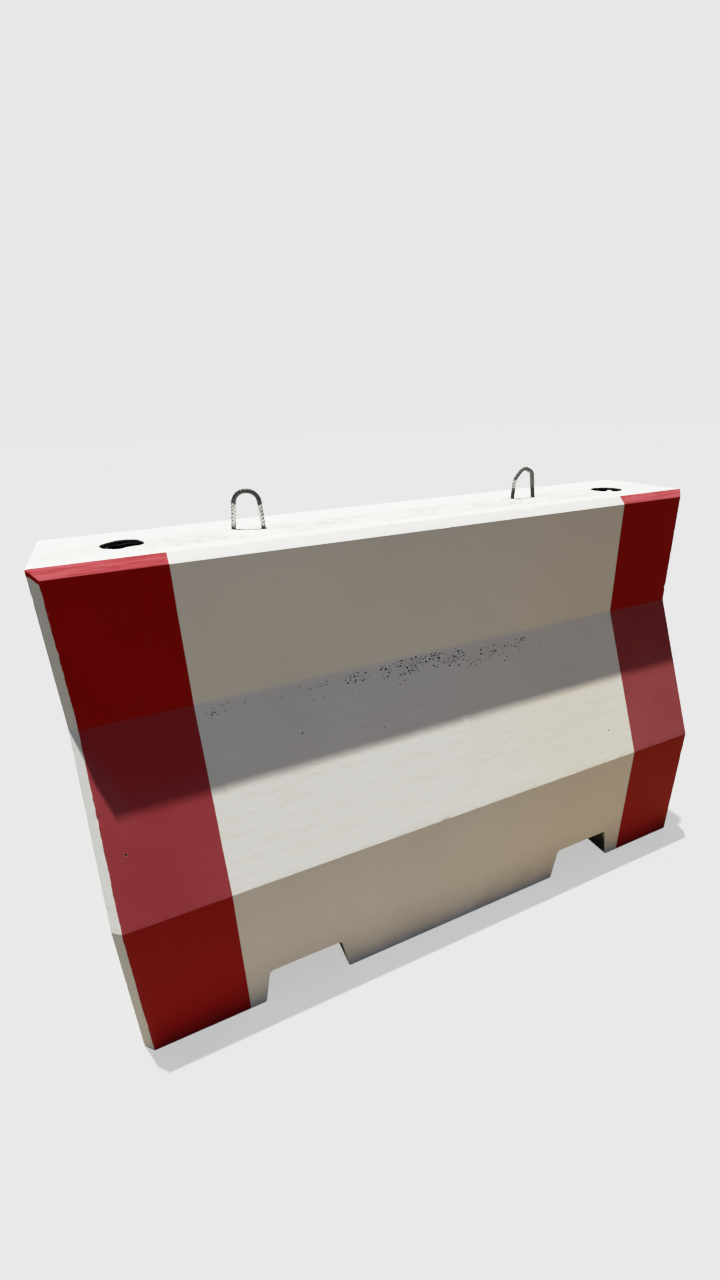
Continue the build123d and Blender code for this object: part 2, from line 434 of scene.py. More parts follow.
# Air bubbles gather in the concrete under the waist. Each group: middle and spread along X, depth below
# the waist and its spread down the slope, number, largest radius.
PORE_GROUPS = [
    (-0.53, 0.030, 0.020, 0.008, 12, 2.2 * MM),
    (-0.42, 0.050, 0.018, 0.006, 14, 2.0 * MM),
    (-0.285, 0.014, 0.018, 0.004, 18, 2.7 * MM),
    (-0.295, 0.008, 0.044, 0.004, 5, 2.2 * MM),
    (-0.205, 0.008, 0.055, 0.005, 8, 2.6 * MM),
    (-0.195, 0.020, 0.019, 0.005, 46, 3.1 * MM),
    (-0.160, 0.012, 0.042, 0.006, 6, 2.2 * MM),
    (-0.130, 0.010, 0.022, 0.008, 22, 3.1 * MM),
    (-0.097, 0.004, 0.014, 0.004, 12, 3.8 * MM),
    (-0.050, 0.030, 0.015, 0.005, 170, 3.4 * MM),
    (-0.065, 0.020, 0.030, 0.006, 70, 2.8 * MM),
    (-0.095, 0.008, 0.060, 0.010, 10, 1.9 * MM),
    (0.000, 0.010, 0.012, 0.003, 22, 3.8 * MM),
    (0.030, 0.018, 0.028, 0.009, 70, 3.0 * MM),
    (0.062, 0.010, 0.022, 0.006, 36, 3.3 * MM),
    (0.100, 0.018, 0.042, 0.008, 20, 2.4 * MM),
    (0.155, 0.022, 0.030, 0.009, 66, 3.1 * MM),
    (0.225, 0.022, 0.034, 0.010, 34, 2.6 * MM),
    (0.237, 0.009, 0.024, 0.003, 14, 3.1 * MM),
    (0.285, 0.025, 0.035, 0.014, 10, 2.0 * MM),
    (0.000, 0.330, 0.250, 0.090, 8, 1.4 * MM),
    (-0.525, 0.024, 0.032, 0.011, 11, 2.3 * MM),
]

# Single pores on the front: place along X, distance below the waist, radius.
LONE_PORES = [
    (-0.716, 0.247, 2.9 * MM),
    (-0.342, 0.109, 2.6 * MM),
    (-0.156, 0.142, 1.9 * MM),
    (0.475, 0.310, 2.2 * MM),
    (0.405, 0.325, 1.6 * MM),
]


def pore_places():
    """(place along X, distance below the waist, radius, side) of every pore, none touching another."""
    chance = random.Random(20)
    wanted = [(x, below, radius, -1) for x, below, radius in LONE_PORES]
    for side in (-1, 1):
        for middle, spread, below, fall, number, largest in PORE_GROUPS:
            for _ in range(number if side < 0 else number // 3):
                x = chance.gauss(-side * middle, spread)
                down = max(0.006, chance.gauss(below, fall))
                wanted.append((x, down, largest * (0.36 + 0.64 * chance.random() ** 2.0), side))
    kept = []
    for x, down, radius, side in wanted:
        clear = all(
            side != s or math.hypot(x - a, down - b) > radius + r + 0.3 * MM for a, b, r, s in kept
        )
        if clear and abs(x) < HALF_LENGTH - END_CHAMFER - 5 * MM:
            kept.append((x, down, radius, side))
    return kept


def blob(centre, radius, along, out, seed):
    """A lumpy little ball, closed, for cutting a pore."""
    around, up = 9, 5
    across = out.cross(along) * (0.75 + 0.4 * noise.noise((seed, 0.5, 0.5)))
    vertices = [centre + out * radius * 0.9]
    for v in range(1, up):
        polar = math.pi * v / up
        for u in range(around):
            turn = 2 * math.pi * u / around
            lump = 1 + 0.30 * noise.noise((1.5 * math.cos(turn) + seed, 1.5 * math.sin(turn), polar))
            flat = radius * math.sin(polar) * lump
            sideways = along * flat * math.cos(turn) + across * flat * math.sin(turn)
            vertices.append(centre + sideways + out * radius * 0.9 * math.cos(polar))
    vertices.append(centre - out * radius * 0.9)
    faces = [(0, 1 + u, 1 + (u + 1) % around) for u in range(around)]
    for v in range(up - 2):
        for u in range(around):
            a, b = 1 + v * around + u, 1 + v * around + (u + 1) % around
            faces.append((a, a + around, b + around, b))
    tail = len(vertices) - 1
    base = 1 + (up - 2) * around
    faces += [(base + u, tail, base + (u + 1) % around) for u in range(around)]
    return vertices, faces


def pore_cutter(places):
    """All the pores as one set of separate balls, each sunk just under the surface of its slope."""
    vertices, faces = [], []
    for n, (x, down, radius, side) in enumerate(places):
        fall = Vector((0, SLOPE_FALL.y * -side, SLOPE_FALL.z))
        out = Vector((0, SLOPE_OUT.y * -side, SLOPE_OUT.z))
        surface = Vector((x, side * HALF_WAIST, WAIST_HEIGHT)) + fall * down
        points, cells = blob(surface - out * 0.9 * MM, radius, Vector((1, 0, 0)), out, n * 3.7)
        start = len(vertices)
        vertices += points
        faces += [tuple(start + v for v in cell) for cell in cells]
    return vertices, faces


def cut(piece, name, shape, material_index):
    """Cuts a closed shape out of a piece. The new faces take the piece's material of that index."""
    cutter = new_mesh_object(name, *shape)
    for material in piece.data.materials:
        cutter.data.materials.append(material)
    cutter.data.polygons.foreach_set("material_index", [material_index] * len(cutter.data.polygons))
    step = piece.modifiers.new(name, "BOOLEAN")
    step.operation = "DIFFERENCE"
    step.solver = "MANIFOLD"
    step.object = cutter
    bpy.context.view_layer.update()
    result = bpy.data.meshes.new_from_object(piece.evaluated_get(bpy.context.evaluated_depsgraph_get()))
    piece.modifiers.remove(step)
    old = piece.data
    piece.data = result
    bpy.data.meshes.remove(old)
    bpy.data.objects.remove(cutter)


# ---- node materials

class Shader:
    """A node material, written as short expressions."""

    def __init__(self, name):
        self.material = bpy.data.materials.new(name)
        self.material.use_nodes = True
        self.tree = self.material.node_tree
        self.tree.nodes.clear()
        self.out = self.tree.nodes.new("ShaderNodeOutputMaterial")
        self.bsdf = self.tree.nodes.new("ShaderNodeBsdfPrincipled")
        self.link(self.bsdf.outputs["BSDF"], self.out.inputs["Surface"])
        self.place = self.tree.nodes.new("ShaderNodeTexCoord").outputs["Object"]

    def link(self, source, target):
        self.tree.links.new(source, target)

    def put(self, value, target):
        """A socket is linked, and a number or colour is set."""
        if isinstance(value, bpy.types.NodeSocket):
            self.link(value, target)
        elif target.type == "RGBA":
            target.default_value = (*value, 1.0)
        else:
            target.default_value = value

    def math(self, operation, a, b=0.0):
        node = self.tree.nodes.new("ShaderNodeMath")
        node.operation = operation
        for value, target in zip((a, b), node.inputs):
            self.put(value, target)
        return node.outputs[0]

    def stretched(self, scale, shift):
        node = self.tree.nodes.new("ShaderNodeMapping")
        self.link(self.place, node.inputs["Vector"])
        node.inputs["Scale"].default_value = scale
        node.inputs["Location"].default_value = shift
        return node.outputs[0]

    def noise(self, scale=1.0, detail=3.0, rough=0.5, stretch=(1.0, 1.0, 1.0), shift=(0.0, 0.0, 0.0)):
        node = self.tree.nodes.new("ShaderNodeTexNoise")
        self.link(self.stretched(stretch, shift), node.inputs["Vector"])
        node.inputs["Scale"].default_value = scale
        node.inputs["Detail"].default_value = detail
        node.inputs["Roughness"].default_value = rough
        return node.outputs["Fac"]

    def between(self, value, low, high, start=0.0, end=1.0):
        """value from low to high becomes start to end, smoothly."""
        node = self.tree.nodes.new("ShaderNodeMapRange")
        node.interpolation_type = "SMOOTHSTEP"
        self.put(value, node.inputs["Value"])
        limits = {"From Min": low, "From Max": high, "To Min": start, "To Max": end}
        for name, number in limits.items():
            node.inputs[name].default_value = number
        return node.outputs["Result"]

    def mix(self, share, a, b, blend="MIX"):
        node = self.tree.nodes.new("ShaderNodeMix")
        node.data_type = "RGBA"
        node.blend_type = blend
        self.put(share, node.inputs["Factor"])
        self.put(a, node.inputs["A"])
        self.put(b, node.inputs["B"])
        return next(s for s in node.outputs if s.type == "RGBA")

    def axes(self):
        node = self.tree.nodes.new("ShaderNodeSeparateXYZ")
        self.link(self.place, node.inputs[0])
        return node.outputs

    def facing(self):
        """The surface's own normal, as three sockets."""
        geometry = self.tree.nodes.new("ShaderNodeNewGeometry")
        node = self.tree.nodes.new("ShaderNodeSeparateXYZ")
        self.link(geometry.outputs["Normal"], node.inputs[0])
        return node.outputs

    def bump(self, *layers):
        """layers: (height, strength, distance), the broadest first."""
        normal = None
        for height, strength, distance in layers:
            node = self.tree.nodes.new("ShaderNodeBump")
            node.inputs["Strength"].default_value = strength
            node.inputs["Distance"].default_value = distance
            self.link(height, node.inputs["Height"])
            if normal is not None:
                self.link(normal, node.inputs["Normal"])
            normal = node.outputs[0]
        self.link(normal, self.bsdf.inputs["Normal"])

    def surface(self, colour, roughness, metallic=0.0, specular=0.5):
        self.put(colour, self.bsdf.inputs["Base Color"])
        self.put(roughness, self.bsdf.inputs["Roughness"])
        self.put(metallic, self.bsdf.inputs["Metallic"])
        self.bsdf.inputs["Specular IOR Level"].default_value = specular
        return self.material


def white_paint():
    """Brushed white paint: dirty foot darkened further as painted shade, mottled top, yellower at the right
    and cooler on the left end.
    """
    s = Shader("white_paint")
    x, y, z = s.axes()
    up = s.facing()[2]
    clouds = s.between(s.noise(3.2, 4.0, 0.55), 0.3, 0.7)
    colour = s.mix(clouds, (0.790, 0.778, 0.750), (0.835, 0.826, 0.800))
    # The sides turn warmer in colour towards the right end.
    warmer_at_right = s.math("MULTIPLY", s.between(x, -0.05, 0.40), s.between(up, 0.6, 0.5))
    colour = s.mix(warmer_at_right, colour, (1.0, 0.955, 0.885), "MULTIPLY")
    colour = s.mix(s.between(x, -0.745, -0.758), colour, (0.795, 0.830, 0.835))
    sloped = s.math("MULTIPLY", s.between(up, 0.12, 0.3), s.between(up, 0.6, 0.45))
    brushed = s.math("ADD", s.math("MULTIPLY", sloped, 0.8), 0.2)
    strokes = s.noise(1.0, 5.0, 0.62, stretch=(8.0, 64.0, 64.0))
    brushed = s.math("MULTIPLY", brushed, s.between(z, 0.66, 0.50, 0.4, 1.0))
    worn = s.math("MULTIPLY", s.between(strokes, 0.38, 0.70, 0.0, 0.45), brushed)
    colour = s.mix(worn, colour, (0.70, 0.685, 0.64))
    fine = s.noise(1.0, 3.0, 0.6, stretch=(14.0, 260.0, 260.0), shift=(3.0, 0.0, 1.0))
    bright = s.math("MULTIPLY", s.between(fine, 0.45, 0.75, 0.0, 0.4), brushed)
    colour = s.mix(bright, colour, (0.88, 0.87, 0.84))
    # Darker towards the foot: soiling, and painted shade where the kerb meets the floor.
    foot = s.between(z, 0.16, 0.0)
    splash = s.noise(9.0, 5.0, 0.6, stretch=(1.0, 1.0, 0.55), shift=(0.4, 2.0, 0.0))
    dirt_and_shade = s.math("MULTIPLY", foot, s.between(splash, 0.25, 0.7, 0.35, 1.0))
    colour = s.mix(s.math("MULTIPLY", dirt_and_shade, 0.40), colour, (0.40, 0.35, 0.28))
    level = s.math("MULTIPLY", s.between(up, 0.9, 0.99), s.between(z, 0.985, 0.992))
    middle = s.math("MULTIPLY", s.between(y, -0.088, -0.068), s.between(y, 0.055, 0.0))
    inboard = s.between(s.math("ABSOLUTE", x), 0.66, 0.45, 0.4, 1.0)
    grime = s.noise(75.0, 6.0, 0.75, stretch=(0.6, 1.0, 1.0))
    patches = s.noise(9.0, 3.0, 0.55, shift=(7.0, 0.0, 0.0))
    speckle = s.math("MULTIPLY", s.between(grime, 0.40, 0.58), s.between(patches, 0.36, 0.58, 0.35, 1.0))
    speckle = s.math("MULTIPLY", s.math("MULTIPLY", speckle, middle), s.math("MULTIPLY", level, inboard))
    colour = s.mix(s.math("MULTIPLY", speckle, 0.85), colour, (0.36, 0.40, 0.32))
    grain = s.noise(420.0, 3.0, 0.6)
    s.bump((strokes, 0.14, 0.0012), (s.noise(95.0, 4.0, 0.55), 0.22, 0.0016), (grain, 0.18, 0.0006))
    return s.surface(colour, s.between(grain, 0.3, 0.7, 0.52, 0.70), specular=0.2)


def dark_pore():
    """Soiling in the air bubbles, made near black as painted shade in the pits."""
    s = Shader("dark_pore")
    # Near black: soiling and painted shade inside the pits.
    colour = s.mix(s.noise(300.0, 2.0), (0.006, 0.006, 0.005), (0.026, 0.023, 0.020))
    s.bump((s.noise(600.0, 3.0), 0.3, 0.0005))
    return s.surface(colour, 0.95, specular=0.1)


def pocket_concrete():
    """Bare, dirty concrete, made darker as painted shade inside the pockets. It is painted at the pockets'
    mouths and near black, as painted shade, at the sleeve holes' mouths.
    """
    s = Shader("pocket_concrete")
    clouds = s.noise(22.0, 6.0, 0.65)
    # Dark dirty concrete, darkened further as painted shade in the pockets' recess.
    colour = s.mix(s.between(clouds, 0.35, 0.68), (0.030, 0.032, 0.022), (0.13, 0.13, 0.10))
    _, y, z = s.axes()
    ragged = s.math("MULTIPLY", s.noise(60.0, 4.0), 0.012)
    mouth = s.between(s.math("ADD", s.math("ABSOLUTE", y), ragged), 0.2995, 0.3025)
    colour = s.mix(mouth, colour, (0.70, 0.69, 0.65))
    # Painted shade: the lip's inner wall in each sleeve hole is near black.
    colour = s.mix(s.between(z, 0.95, 0.96), colour, (0.030, 0.030, 0.027))
    s.bump((s.noise(45.0, 5.0, 0.6), 0.5, 0.003), (s.noise(350.0, 3.0), 0.3, 0.0008))
    return s.surface(colour, 0.9, specular=0.2)


def red_paint():
    """Red traffic paint. What faces the sky is paler, part fading and part painted sheen of the key light.
    On the front just under the waist it is a deeper red, painted shade where the key light's shadow falls.
    It is dusty at the right.
    """
    s = Shader("red_paint")
    x, y, z = s.axes()
    up = s.facing()[2]
    clouds = s.between(s.noise(5.0, 4.0, 0.55, shift=(1.0, 4.0, 0.0)), 0.3, 0.7)
    colour = s.mix(clouds, (0.330, 0.0015, 0.0010), (0.365, 0.0030, 0.0020))
    colour = s.mix(s.between(z, 0.5, 0.3), colour, (0.365, 0.0078, 0.0092))
    # Sky-facing red is paler: part fading, part painted sheen of the key light.
    faded_and_sheen = s.mix(clouds, (0.29, 0.038, 0.048), (0.33, 0.050, 0.061))
    # Painted shade: a deeper red on the front's upper slope, where the key light's cast shadow falls, its
    # edge skewed at the left end to follow the shadow.
    shaded_red = s.mix(clouds, (0.31, 0.018, 0.022), (0.35, 0.026, 0.030))
    past_end = s.math("MAXIMUM", s.math("SUBTRACT", -0.69, x), 0.0)
    shadow_line_height = s.math("SUBTRACT", z, s.math("MULTIPLY", past_end, 1.8))
    in_shade = s.math("MULTIPLY", s.between(shadow_line_height, 0.50, 0.60), s.between(y, 0.0, -0.1))
    faded_and_sheen = s.mix(in_shade, faded_and_sheen, shaded_red)
    colour = s.mix(s.between(up, 0.1, 0.35), colour, faded_and_sheen)
    rolled = s.noise(1.0, 5.0, 0.6, stretch=(110.0, 8.0, 5.0))
    colour = s.mix(s.between(rolled, 0.5, 0.8, 0.0, 0.14), colour, (0.40, 0.03, 0.03))
    brushed = s.noise(1.0, 5.0, 0.65, stretch=(9.0, 160.0, 160.0), shift=(2.0, 0.0, 0.0))
    # The top chamfer is a paler pink: fading, and painted sheen where the key light strikes it most
    # squarely.
    on_chamfer = s.between(up, 0.5, 0.62)
    colour = s.mix(on_chamfer, colour, (0.38, 0.060, 0.078))
    streaks = s.math("MULTIPLY", s.between(brushed, 0.43, 0.60), on_chamfer)
    colour = s.mix(s.math("MULTIPLY", streaks, 0.8), colour, (0.26, 0.014, 0.018))
    dusty = s.math("ADD", s.between(up, 0.1, 0.35), s.between(z, 0.5, 0.3, 0.0, 0.12))
    dusty = s.math("MULTIPLY", dusty, s.between(x, -0.3, 0.3, 0.0, 0.045))
    colour = s.mix(dusty, colour, (0.34, 0.42, 0.36))
    # Darker towards the foot: soiling, and painted shade near the floor.
    foot = s.between(z, 0.10, 0.0)
    dirt_and_shade = s.math("MULTIPLY", foot, s.between(s.noise(10.0, 5.0, 0.6), 0.3, 0.7, 0.3, 1.0))
    colour = s.mix(s.math("MULTIPLY", dirt_and_shade, 0.5), colour, (0.10, 0.012, 0.010))
    grain = s.noise(380.0, 3.0, 0.6)
    s.bump((rolled, 0.12, 0.001), (s.noise(95.0, 4.0, 0.55), 0.2, 0.0014), (grain, 0.15, 0.0005))
    return s.surface(colour, s.between(grain, 0.3, 0.7, 0.45, 0.60), specular=0.05)


def loop_steel():
    """Mill-scaled bar. White paint has caught it between the ribs, mostly on the left loop's legs. Low down
    the right loop is near black and the paint stops short of the feet, as painted shade where the bar meets
    the concrete.
    """
    s = Shader("loop_steel")
    x, _, z = s.axes()
    on_right = s.between(x, -0.01, 0.01)
    rust = s.between(s.noise(80.0, 5.0, 0.65), 0.50, 0.72)
    steel = s.mix(on_right, (0.050, 0.048, 0.048), (0.125, 0.120, 0.115))
    steel = s.mix(s.math("MULTIPLY", rust, 0.6), steel, (0.100, 0.066, 0.048))
    blotch = s.noise(55.0, 3.0, 0.5, shift=(5.0, 0.0, 2.0))
    height = s.math("SUBTRACT", z, s.math("MULTIPLY", s.math("SUBTRACT", blotch, 0.5), 0.04))
    # Painted shade: the right loop's legs are near black just above the concrete.
    low = s.math("MULTIPLY", s.between(height, HEIGHT + 0.026, HEIGHT + 0.018), on_right)
    steel = s.mix(low, steel, (0.030, 0.028, 0.027))
    legs = s.math("MULTIPLY", s.between(height, HEIGHT + 0.050, HEIGHT + 0.046), s.between(x, 0.0, -0.01))
    first_leg = s.math("MULTIPLY", s.between(x, 0.350, 0.345), on_right)
    above_patch_foot = s.between(height, HEIGHT + 0.029, HEIGHT + 0.031)
    below_patch_top = s.between(height, HEIGHT + 0.043, HEIGHT + 0.041)
    patch = s.math("MULTIPLY", first_leg, s.math("MULTIPLY", above_patch_foot, below_patch_top))
    coated = s.math("ADD", legs, patch)
    # No paint on the lowest few millimetres, so the feet show dark steel as painted shade.
    bare_shaded_foot = s.between(height, HEIGHT + 0.001, HEIGHT + 0.004)
    rib = s.tree.nodes.new("ShaderNodeAttribute")
    rib.attribute_name = "rib"
    between_ribs = s.between(rib.outputs["Fac"], 0.50, 0.22, 0.0, 1.0)
    flakes = s.between(s.noise(200.0, 2.0, 0.5, shift=(1.0, 1.0, 1.0)), 0.34, 0.42, 0.5, 1.0)
    coated = s.math("MULTIPLY", coated, bare_shaded_foot)
    painted = s.math("MULTIPLY", coated, s.math("MULTIPLY", between_ribs, flakes))
    colour = s.mix(painted, steel, (0.80, 0.80, 0.78))
    s.bump((s.noise(500.0, 4.0, 0.6), 0.35, 0.0005))
    metallic = s.math("SUBTRACT", 0.35, s.math("MULTIPLY", painted, 0.35))
    return s.surface(colour, s.between(rust, 0.0, 1.0, 0.45, 0.75), metallic=metallic)


def cage_steel():
    """Bare reinforcing steel with flash rust."""
    s = Shader("cage_steel")
    rust = s.between(s.noise(70.0, 6.0, 0.7), 0.35, 0.65)
    colour = s.mix(rust, (0.16, 0.14, 0.13), (0.27, 0.12, 0.05))
    s.bump((s.noise(400.0, 4.0, 0.6), 0.4, 0.0006))
    return s.surface(colour, 0.75, metallic=0.4)


def sleeve_plastic():
    """Scuffed black pipe, kept near black as painted shade deep in the holes."""
    s = Shader("sleeve_plastic")
    scuffs = s.noise(40.0, 5.0, 0.6, stretch=(1.0, 1.0, 0.25))
    # Near black: painted shade deep inside the sleeve holes.
    colour = s.mix(s.between(scuffs, 0.35, 0.7), (0.008, 0.008, 0.008), (0.024, 0.024, 0.022))
    s.bump((scuffs, 0.2, 0.0008))
    return s.surface(colour, s.between(scuffs, 0.3, 0.7, 0.55, 0.8), specular=0.2)


def mortar():
    """Sandy grey mortar of the cover blocks."""
    s = Shader("mortar")
    grains = s.noise(150.0, 5.0, 0.7)
    colour = s.mix(s.between(grains, 0.35, 0.65), (0.36, 0.34, 0.31), (0.58, 0.56, 0.52))
    s.bump((grains, 0.5, 0.001))
    return s.surface(colour, 0.92, specular=0.2)


# ---- pieces

def sleeve_place(end):
    """Middle of a pipe sleeve, seen from above."""
    low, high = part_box(f"pipe_sleeve_{end}")
    return (low.x + high.x) / 2, (low.y + high.y) / 2


def make_body(body, materials):
    """The concrete with its pockets, holes and pores. materials: painted face, pore, bare inside."""
    piece = new_mesh_object("painted_concrete_body", body.points, body.faces.tolist())
    for material in materials:
        piece.data.materials.append(material)
    for side in (-1, 1):
        cut(piece, "pocket_cutter", pocket_cutter(side * POCKET_FROM_MIDDLE), 2)
    for end in ("left", "right"):
        cut(piece, "hole_cutter", hole_cutter(*sleeve_place(end), end), 2)
    cut(piece, "pore_cutter", pore_cutter(pore_places()), 1)
    soften(piece.data, 38.0)
    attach(piece, "root")
    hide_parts("concrete_body")


class Film:
    """Closed shells of paint that follow the body's own surface on one long face."""

    def __init__(self, body, across):
        self.body, self.across = body, across
        self.xs = np.array([x for x, _ in body.columns])
        self.grid = body.number[:, across, :]
        self.vertices, self.faces = [], []

    def lifted(self, row, x, lift):
        k = int(np.clip(np.searchsorted(self.xs, x) - 1, 0, len(self.xs) - 2))
        t = (x - self.xs[k]) / (self.xs[k + 1] - self.xs[k])
        a, b = self.grid[row, k], self.grid[row, k + 1]
        place = self.body.points[a] * (1 - t) + self.body.points[b] * t
        normal = self.body.normals[a] * (1 - t) + self.body.normals[b] * t
        return place + normal / np.linalg.norm(normal) * lift

    def add_shell(self, rows, edges, lift):
        """A shell over the rows. edges holds the two ends of each row, the lower X first."""
        low = max(a for a, _ in edges) + 0.5 * MM       # the body's columns between the frayed ends
        high = min(b for _, b in edges) - 0.3 * MM
        inner = [x for x in self.xs if low < x < high]
        width, height = len(inner) + 2, len(rows)
        start = len(self.vertices)
        for level in (lift, -RED_FILM):
            for row, (a, b) in zip(rows, edges):
                self.vertices += [self.lifted(row, x, level) for x in (a, *inner, b)]

        def at(layer, r, c):
            return start + (layer * height + r) * width + c

        back = self.across != 0
        for layer in (0, 1):
            for r in range(height - 1):
                for c in range(width - 1):
                    corners = ((r, c), (r, c + 1), (r + 1, c + 1), (r + 1, c))
                    quad = tuple(at(layer, *corner) for corner in corners)
                    self.faces.append(quad[::-1] if (layer == 1) != back else quad)
        border = [(0, c) for c in range(width)] + [(r, width - 1) for r in range(1, height)]
        border += [(height - 1, c) for c in range(width - 2, -1, -1)]
        border += [(r, 0) for r in range(height - 2, 0, -1)]
        for (r0, c0), (r1, c1) in zip(border, border[1:] + border[:1]):
            quad = (at(1, r0, c0), at(1, r1, c1), at(0, r1, c1), at(0, r0, c0))
            self.faces.append(quad[::-1] if back else quad)


def make_band(body, face, end, materials):
    """A red band of paint with hand-cut edges. On the top chamfer it runs on to the very corner."""
    across = 0 if face == "front" else CELLS_ACROSS
    outward = -1 if end == "left" else 1
    low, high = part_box(f"red_band_{face}_{end}")
    inner_x = high.x if outward < 0 else low.x
    arris = outward * (HALF_LENGTH - END_CHAMFER)
    film = Film(body, across)
    middle_column = len(body.columns) // 2
    seed = across + 3 * outward

    def edges(row):
        z = body.side[middle_column, row][1]
        wander = noise.noise((z * 9, seed, 0.5)) + 0.5 * noise.noise((z * 60, seed, 0.5))
        fray = noise.noise((z * 34, seed, 2.5)) + 0.8 * noise.noise((z * 150, seed, 2.5))
        ends = (inner_x - outward * 0.5 * MM * wander, arris + outward * (0.9 * MM + 1.3 * MM * fray))
        return tuple(sorted(ends))

    shoulder_row = body.rows - 1 - 2 * ARC_STEPS - SIDE_CELLS[3] + ARC_STEPS // 2
    painted = range(ARC_STEPS // 2 + 1, body.rows - 2)
    film.add_shell(painted, [edges(row) for row in painted], RED_FILM)
    corner = range(shoulder_row - 3, body.rows - 2)
    tip = outward * (HALF_LENGTH - 0.4 * MM)
    film.add_shell(corner, [tuple(sorted((arris - outward * 2 * MM, tip)))] * len(corner), RED_FILM * 1.1)
    piece = new_mesh_object(f"red_band_paint_{face}_{end}", film.vertices, film.faces, 40.0)
    for material in materials:
        piece.data.materials.append(material)
    pierced = [(x, down, 1.15 * r, -1) for x, down, r in LONE_PORES if low.x < x < high.x and across == 0]
    if pierced:
        cut(piece, "pore_cutter", pore_cutter(pierced), 1)
        soften(piece.data, 40.0)
    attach(piece, "root")
    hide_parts(f"red_band_{face}_{end}")


# Each loop's plane stands at a place on the top, turned about Z by some degrees. Its arch is a list of
# (along, above the top, bend radius), in millimetres.
LOOPS = {
    "left": {
        "place": (-0.363, 0.010),
        "turn": -24.0,
        "arch": [(-32.5, -5.0, 60.0), (-23.5, 75.5, 27.0), (26.5, 75.5, 25.0), (32.0, -5.0, 200.0)],
    },
    "right": {
        "place": (0.353, 0.004),
        "turn": -4.0,
        "arch": [
            (-31.5, -5.0, 60.0),
            (-28.5, 45.0, 35.0),
            (-4.0, 73.5, 17.0),
            (21.5, 60.5, 14.0),
            (31.0, -5.0, 60.0),
        ],
    },
}


def even_points(line, steps):
    """Points along a dense line at the wanted distances from its start."""
    line = np.array([tuple(p) for p in line])
    along = np.concatenate([[0.0], np.cumsum(np.linalg.norm(np.diff(line, axis=0), axis=1))])
    return np.stack([np.interp(steps, along, line[:, n]) for n in range(line.shape[1])], axis=1), along[-1]


def loop_route(spec):
    """The bar's centre line as (along, above the top) pairs: fine steps where it shows, coarse below."""
    arch = [(a * MM, b * MM) for a, b, _ in spec["arch"]]
    points = [(-LOOP_HOOK_REACH, -LOOP_DEPTH), (arch[0][0], -LOOP_DEPTH), *arch]
    points += [(arch[-1][0], -LOOP_DEPTH), (LOOP_HOOK_REACH, -LOOP_DEPTH)]
    radii = [HOOK_RADIUS] + [r * MM for _, _, r in spec["arch"]] + [HOOK_RADIUS]
    dense = rounded_line(points, radii, 0.5 * MM)
    total = even_points(dense, [0.0])[1]
    fine_line = even_points(dense, np.arange(0.0, total, 0.7 * MM))[0]
    shown = fine_line[:, 1] > -LOOP_SHOWN_BELOW
    coarse = (np.arange(len(fine_line)) % 8 == 0) | (np.arange(len(fine_line)) == len(fine_line) - 1)
    return fine_line[shown | coarse]


def rib_height(turn, along):
    """Height of the bar's ribs: one long rib each side, and slanted crescent ribs between them."""
    long_rib = math.exp(-((math.sin(turn) / 0.16) ** 2))
    half = 1 if math.cos(turn) > 0 else -1
    slant = 0.30 * RIB_PITCH * math.sin(turn) * half
    phase = ((along + slant) / RIB_PITCH) % 1.0 - 0.5
    crescent = math.exp(-((phase / 0.13) ** 2)) * max(0.0, abs(math.cos(turn))) ** 0.6
    return max(0.8 * long_rib, crescent)


def make_loop(end, material):
    """A ribbed bar along the loop's route, with the ribs' height kept as the point attribute rib."""
    spec = LOOPS[end]
    angle = math.radians(spec["turn"])
    along_axis = Vector((math.cos(angle), math.sin(angle), 0.0))
    across_axis = Vector((-math.sin(angle), math.cos(angle), 0.0))
    base = Vector((*spec["place"], HEIGHT))
    route = loop_route(spec)
    travelled = np.concatenate([[0.0], np.cumsum(np.linalg.norm(np.diff(route, axis=0), axis=1))])
    around = 36
    rings, ribs = [], []
    for n, (u, w) in enumerate(route):
        before, after = route[max(n - 1, 0)], route[min(n + 1, len(route) - 1)]
        heading = Vector(after - before).normalized()
        centre = base + along_axis * u + Vector((0, 0, w))
        normal = along_axis * -heading.y + Vector((0, 0, heading.x))
        shown = 1.0 if w > -LOOP_SHOWN_BELOW else 0.0
        ring = []
        for m in range(around):
            turn = 2 * math.pi * m / around
            rib = rib_height(turn + 0.5, travelled[n]) * shown
            radius = LOOP_CORE_RADIUS + (LOOP_RADIUS - LOOP_CORE_RADIUS) * rib
            ring.append(centre + normal * radius * math.cos(turn) + across_axis * radius * math.sin(turn))
            ribs.append(rib)
        rings.append(ring)
    vertices, faces = ring_solid(rings)
    piece = new_mesh_object(f"ribbed_lifting_loop_{end}", vertices, faces, 60.0)
    ribs += [0.0] * (len(vertices) - len(ribs))
    piece.data.attributes.new("rib", "FLOAT", "POINT").data.foreach_set("value", ribs)
    piece.data.materials.append(material)
    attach(piece, "root")
    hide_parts(f"lifting_loop_{end}")


